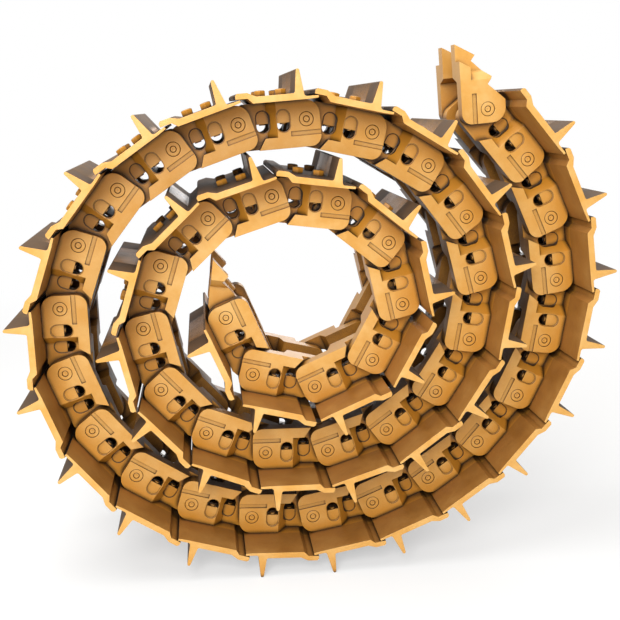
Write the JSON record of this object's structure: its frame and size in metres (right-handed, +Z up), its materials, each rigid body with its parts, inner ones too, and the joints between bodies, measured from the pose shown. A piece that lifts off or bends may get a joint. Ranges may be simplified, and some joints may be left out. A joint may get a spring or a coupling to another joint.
{
  "type": "crawler track chain",
  "caption": "Rolled-up crawler track: sealed link chain with bolted single-grouser shoes, hinged at every pin, with split master link halves at both free ends.",
  "frame": {"origin": "on the floor under the middle of the coil, on the mid plane of the track", "axes": "+X to the right along the coil's longer side, +Y across the track from the near links to the far links, +Z up"},
  "size_m": [1.9496, 0.56, 1.7416],
  "materials": {
    "gold_paint": "matt ochre-gold paint sprayed over forged and rolled steel, thin and brown in the recesses",
    "seal_rubber": "black moulded rubber"
  },
  "bodies": {
    "outer_master": {"master_near_pin_half": "gold_paint", "master_far_pin_half": "gold_paint", "master_pin": "gold_paint", "master_plugs": "gold_paint", "master_seals": "seal_rubber"},
    "section_02": {"first_shoe": "gold_paint", "first_near_link": "gold_paint", "first_far_link": "gold_paint", "first_bush": "gold_paint", "first_pin": "gold_paint", "first_plugs": "gold_paint", "first_seals": "seal_rubber", "first_bolts": "gold_paint", "first_nuts": "gold_paint"},
    "section_03": {"section_03": "gold_paint"},
    "section_04": {"section_04": "gold_paint"},
    "section_05": {"section_05": "gold_paint"},
    "section_06": {"section_06": "gold_paint"},
    "section_07": {"section_07": "gold_paint"},
    "section_08": {"section_08": "gold_paint"},
    "section_09": {"section_09": "gold_paint"},
    "section_10": {"section_10": "gold_paint"},
    "section_11": {"section_11": "gold_paint"},
    "section_12": {"section_12": "gold_paint"},
    "section_13": {"section_13": "gold_paint"},
    "section_14": {"section_14": "gold_paint"},
    "section_15": {"section_15": "gold_paint"},
    "section_16": {"section_16": "gold_paint"},
    "section_17": {"section_17": "gold_paint"},
    "section_18": {"section_18": "gold_paint"},
    "section_19": {"section_19": "gold_paint"},
    "section_20": {"section_20": "gold_paint"},
    "section_21": {"section_21": "gold_paint"},
    "section_22": {"section_22": "gold_paint"},
    "section_23": {"section_23": "gold_paint"},
    "section_24": {"section_24": "gold_paint"},
    "section_25": {"section_25": "gold_paint"},
    "section_26": {"section_26": "gold_paint"},
    "section_27": {"section_27": "gold_paint"},
    "section_28": {"section_28": "gold_paint"},
    "section_29": {"section_29": "gold_paint"},
    "section_30": {"section_30": "gold_paint"},
    "section_31": {"section_31": "gold_paint"},
    "section_32": {"section_32": "gold_paint"},
    "section_33": {"section_33": "gold_paint"},
    "section_34": {"section_34": "gold_paint"},
    "section_35": {"section_35": "gold_paint"},
    "section_36": {"section_36": "gold_paint"},
    "section_37": {"section_37": "gold_paint"},
    "section_38": {"section_38": "gold_paint"},
    "section_39": {"section_39": "gold_paint"},
    "section_40": {"section_40": "gold_paint"},
    "section_41": {"section_41": "gold_paint"},
    "section_42": {"section_42": "gold_paint"},
    "section_43": {"section_43": "gold_paint"},
    "inner_master": {"master_near_bush_half": "gold_paint", "master_far_bush_half": "gold_paint", "master_bush": "gold_paint"}
  },
  "joints": [
    {"name": "hinge_01", "type": "hinge", "parent": "section_02", "child": "outer_master", "pos_m": [0.56005, 0, 1.54001], "axis": [0, 1, 0], "range_deg": [-48, 0]},
    {"name": "hinge_02", "type": "hinge", "parent": "section_03", "child": "section_02", "pos_m": [0.70393, 0, 1.3789], "axis": [0, 1, 0], "range_deg": [0, 16.11]},
    {"name": "hinge_03", "type": "hinge", "parent": "section_04", "child": "section_03", "pos_m": [0.79745, 0, 1.18419], "axis": [0, 1, 0], "range_deg": [0, 16.59]},
    {"name": "hinge_04", "type": "hinge", "parent": "section_05", "child": "section_04", "pos_m": [0.83147, 0, 0.97089], "axis": [0, 1, 0], "range_deg": [0, 16.65]},
    {"name": "hinge_05", "type": "hinge", "parent": "section_06", "child": "section_05", "pos_m": [0.80293, 0, 0.75678], "axis": [0, 1, 0], "range_deg": [0, 16.3]},
    {"name": "hinge_06", "type": "hinge", "parent": "section_07", "child": "section_06", "pos_m": [0.71547, 0, 0.55928], "axis": [0, 1, 0], "range_deg": [0, 15.54]},
    {"name": "hinge_07", "type": "hinge", "parent": "section_08", "child": "section_07", "pos_m": [0.57831, 0, 0.39242], "axis": [0, 1, 0], "range_deg": [0, 14.45]},
    {"name": "hinge_08", "type": "hinge", "parent": "section_09", "child": "section_08", "pos_m": [0.40385, 0, 0.26506], "axis": [0, 1, 0], "range_deg": [0, 13.25]},
    {"name": "hinge_09", "type": "hinge", "parent": "section_10", "child": "section_09", "pos_m": [0.20485, 0, 0.18106], "axis": [0, 1, 0], "range_deg": [0, 12.49]},
    {"name": "hinge_10", "type": "hinge", "parent": "section_11", "child": "section_10", "pos_m": [-0.0076, 0, 0.14208], "axis": [0, 1, 0], "range_deg": [0, 12.82]},
    {"name": "hinge_11", "type": "hinge", "parent": "section_11", "child": "section_12", "pos_m": [-0.22341, 0, 0.15123], "axis": [0, -1, 0], "range_deg": [0, 14.28]},
    {"name": "hinge_12", "type": "hinge", "parent": "section_12", "child": "section_13", "pos_m": [-0.43029, 0, 0.21333], "axis": [0, -1, 0], "range_deg": [0, 16.18]},
    {"name": "hinge_13", "type": "hinge", "parent": "section_13", "child": "section_14", "pos_m": [-0.61166, 0, 0.33063], "axis": [0, -1, 0], "range_deg": [0, 17.88]},
    {"name": "hinge_14", "type": "hinge", "parent": "section_14", "child": "section_15", "pos_m": [-0.74827, 0, 0.49795], "axis": [0, -1, 0], "range_deg": [0, 19.05]},
    {"name": "hinge_15", "type": "hinge", "parent": "section_15", "child": "section_16", "pos_m": [-0.8228, 0, 0.70068], "axis": [0, -1, 0], "range_deg": [0, 19.57]},
    {"name": "hinge_16", "type": "hinge", "parent": "section_16", "child": "section_17", "pos_m": [-0.82512, 0, 0.91667], "axis": [0, -1, 0], "range_deg": [0, 19.41]},
    {"name": "hinge_17", "type": "hinge", "parent": "section_17", "child": "section_18", "pos_m": [-0.75556, 0, 1.12116], "axis": [0, -1, 0], "range_deg": [0, 18.58]},
    {"name": "hinge_18", "type": "hinge", "parent": "section_18", "child": "section_19", "pos_m": [-0.62447, 0, 1.29283], "axis": [0, -1, 0], "range_deg": [0, 17.19]},
    {"name": "hinge_19", "type": "hinge", "parent": "section_19", "child": "section_20", "pos_m": [-0.4485, 0, 1.41809], "axis": [0, -1, 0], "range_deg": [0, 15.61]},
    {"name": "hinge_20", "type": "hinge", "parent": "section_20", "child": "section_21", "pos_m": [-0.24532, 0, 1.49139], "axis": [0, -1, 0], "range_deg": [0, 14.89]},
    {"name": "hinge_21", "type": "hinge", "parent": "section_21", "child": "section_22", "pos_m": [-0.03012, 0, 1.51001], "axis": [0, -1, 0], "range_deg": [0, 16.1]},
    {"name": "hinge_22", "type": "hinge", "parent": "section_22", "child": "section_23", "pos_m": [0.1818, 0, 1.46824], "axis": [0, -1, 0], "range_deg": [0, 18.71]},
    {"name": "hinge_23", "type": "hinge", "parent": "section_23", "child": "section_24", "pos_m": [0.36912, 0, 1.36069], "axis": [0, -1, 0], "range_deg": [0, 21.33]},
    {"name": "hinge_24", "type": "hinge", "parent": "section_24", "child": "section_25", "pos_m": [0.5045, 0, 1.19238], "axis": [0, -1, 0], "range_deg": [0, 23.11]},
    {"name": "hinge_25", "type": "hinge", "parent": "section_25", "child": "section_26", "pos_m": [0.56297, 0, 0.98444], "axis": [0, -1, 0], "range_deg": [0, 23.73]},
    {"name": "hinge_26", "type": "hinge", "parent": "section_26", "child": "section_27", "pos_m": [0.5328, 0, 0.77056], "axis": [0, -1, 0], "range_deg": [0, 23.17]},
    {"name": "hinge_27", "type": "hinge", "parent": "section_27", "child": "section_28", "pos_m": [0.42092, 0, 0.58579], "axis": [0, -1, 0], "range_deg": [0, 21.5]},
    {"name": "hinge_28", "type": "hinge", "parent": "section_28", "child": "section_29", "pos_m": [0.2491, 0, 0.45489], "axis": [0, -1, 0], "range_deg": [0, 19.31]},
    {"name": "hinge_29", "type": "hinge", "parent": "section_29", "child": "section_30", "pos_m": [0.04366, 0, 0.38818], "axis": [0, -1, 0], "range_deg": [0, 18.66]},
    {"name": "hinge_30", "type": "hinge", "parent": "section_30", "child": "section_31", "pos_m": [-0.17232, 0, 0.3907], "axis": [0, -1, 0], "range_deg": [0, 21.43]},
    {"name": "hinge_31", "type": "hinge", "parent": "section_31", "child": "section_32", "pos_m": [-0.37245, 0, 0.47197], "axis": [0, -1, 0], "range_deg": [0, 25.82]},
    {"name": "hinge_32", "type": "hinge", "parent": "section_32", "child": "section_33", "pos_m": [-0.51721, 0, 0.63229], "axis": [0, -1, 0], "range_deg": [0, 29.09]},
    {"name": "hinge_33", "type": "hinge", "parent": "section_33", "child": "section_34", "pos_m": [-0.56577, 0, 0.84276], "axis": [0, -1, 0], "range_deg": [0, 30.12]},
    {"name": "hinge_34", "type": "hinge", "parent": "section_34", "child": "section_35", "pos_m": [-0.50215, 0, 1.04918], "axis": [0, -1, 0], "range_deg": [0, 28.78]},
    {"name": "hinge_35", "type": "hinge", "parent": "section_35", "child": "section_36", "pos_m": [-0.347, 0, 1.19946], "axis": [0, -1, 0], "range_deg": [0, 25.73]},
    {"name": "hinge_36", "type": "hinge", "parent": "section_36", "child": "section_37", "pos_m": [-0.14199, 0, 1.26748], "axis": [0, -1, 0], "range_deg": [0, 25]},
    {"name": "hinge_37", "type": "hinge", "parent": "section_37", "child": "section_38", "pos_m": [0.07256, 0, 1.2425], "axis": [0, -1, 0], "range_deg": [0, 31.04]},
    {"name": "hinge_38", "type": "hinge", "parent": "section_38", "child": "section_39", "pos_m": [0.24352, 0, 1.11048], "axis": [0, -1, 0], "range_deg": [0, 38.51]},
    {"name": "hinge_39", "type": "hinge", "parent": "section_39", "child": "section_40", "pos_m": [0.29509, 0, 0.90073], "axis": [0, -1, 0], "range_deg": [0, 41.36]},
    {"name": "hinge_40", "type": "hinge", "parent": "section_40", "child": "section_41", "pos_m": [0.19519, 0, 0.70922], "axis": [0, -1, 0], "range_deg": [0, 38.59]},
    {"name": "hinge_41", "type": "hinge", "parent": "section_41", "child": "section_42", "pos_m": [-0.00235, 0, 0.62185], "axis": [0, -1, 0], "range_deg": [0, 37.56]},
    {"name": "hinge_42", "type": "hinge", "parent": "section_42", "child": "section_43", "pos_m": [-0.2122, 0, 0.67303], "axis": [0, -1, 0], "range_deg": [0, 53.05]},
    {"name": "hinge_43", "type": "hinge", "parent": "section_43", "child": "inner_master", "pos_m": [-0.29743, 0, 0.8715], "axis": [0, -1, 0], "range_deg": [0, 30]}
  ],
  "couplings": [
    {"joint": "hinge_03", "follows": "hinge_11", "ratio": 1.1618},
    {"joint": "hinge_04", "follows": "hinge_11", "ratio": 1.1661},
    {"joint": "hinge_05", "follows": "hinge_11", "ratio": 1.1409},
    {"joint": "hinge_06", "follows": "hinge_11", "ratio": 1.0879},
    {"joint": "hinge_07", "follows": "hinge_11", "ratio": 1.0115},
    {"joint": "hinge_08", "follows": "hinge_11", "ratio": 0.92758},
    {"joint": "hinge_09", "follows": "hinge_11", "ratio": 0.87448},
    {"joint": "hinge_10", "follows": "hinge_11", "ratio": 0.89793},
    {"joint": "hinge_12", "follows": "hinge_11", "ratio": 1.1331},
    {"joint": "hinge_13", "follows": "hinge_11", "ratio": 1.2519},
    {"joint": "hinge_14", "follows": "hinge_11", "ratio": 1.3336},
    {"joint": "hinge_15", "follows": "hinge_11", "ratio": 1.37},
    {"joint": "hinge_16", "follows": "hinge_11", "ratio": 1.3587},
    {"joint": "hinge_17", "follows": "hinge_11", "ratio": 1.301},
    {"joint": "hinge_18", "follows": "hinge_11", "ratio": 1.2036},
    {"joint": "hinge_19", "follows": "hinge_11", "ratio": 1.0928},
    {"joint": "hinge_20", "follows": "hinge_11", "ratio": 1.0428},
    {"joint": "hinge_21", "follows": "hinge_11", "ratio": 1.127},
    {"joint": "hinge_22", "follows": "hinge_11", "ratio": 1.3102},
    {"joint": "hinge_23", "follows": "hinge_11", "ratio": 1.4934},
    {"joint": "hinge_24", "follows": "hinge_11", "ratio": 1.6178},
    {"joint": "hinge_25", "follows": "hinge_11", "ratio": 1.6619},
    {"joint": "hinge_26", "follows": "hinge_11", "ratio": 1.6222},
    {"joint": "hinge_27", "follows": "hinge_11", "ratio": 1.5055},
    {"joint": "hinge_28", "follows": "hinge_11", "ratio": 1.3524},
    {"joint": "hinge_29", "follows": "hinge_11", "ratio": 1.3064},
    {"joint": "hinge_30", "follows": "hinge_11", "ratio": 1.5007},
    {"joint": "hinge_31", "follows": "hinge_11", "ratio": 1.8078},
    {"joint": "hinge_32", "follows": "hinge_11", "ratio": 2.0367},
    {"joint": "hinge_33", "follows": "hinge_11", "ratio": 2.1094},
    {"joint": "hinge_34", "follows": "hinge_11", "ratio": 2.0153},
    {"joint": "hinge_35", "follows": "hinge_11", "ratio": 1.8018},
    {"joint": "hinge_36", "follows": "hinge_11", "ratio": 1.7503},
    {"joint": "hinge_37", "follows": "hinge_11", "ratio": 2.1731},
    {"joint": "hinge_38", "follows": "hinge_11", "ratio": 2.6966},
    {"joint": "hinge_39", "follows": "hinge_11", "ratio": 2.8961},
    {"joint": "hinge_40", "follows": "hinge_11", "ratio": 2.7024},
    {"joint": "hinge_41", "follows": "hinge_11", "ratio": 2.6302},
    {"joint": "hinge_42", "follows": "hinge_11", "ratio": 3.7149},
    {"joint": "hinge_43", "follows": "hinge_11", "ratio": 2.1006}
  ]
}
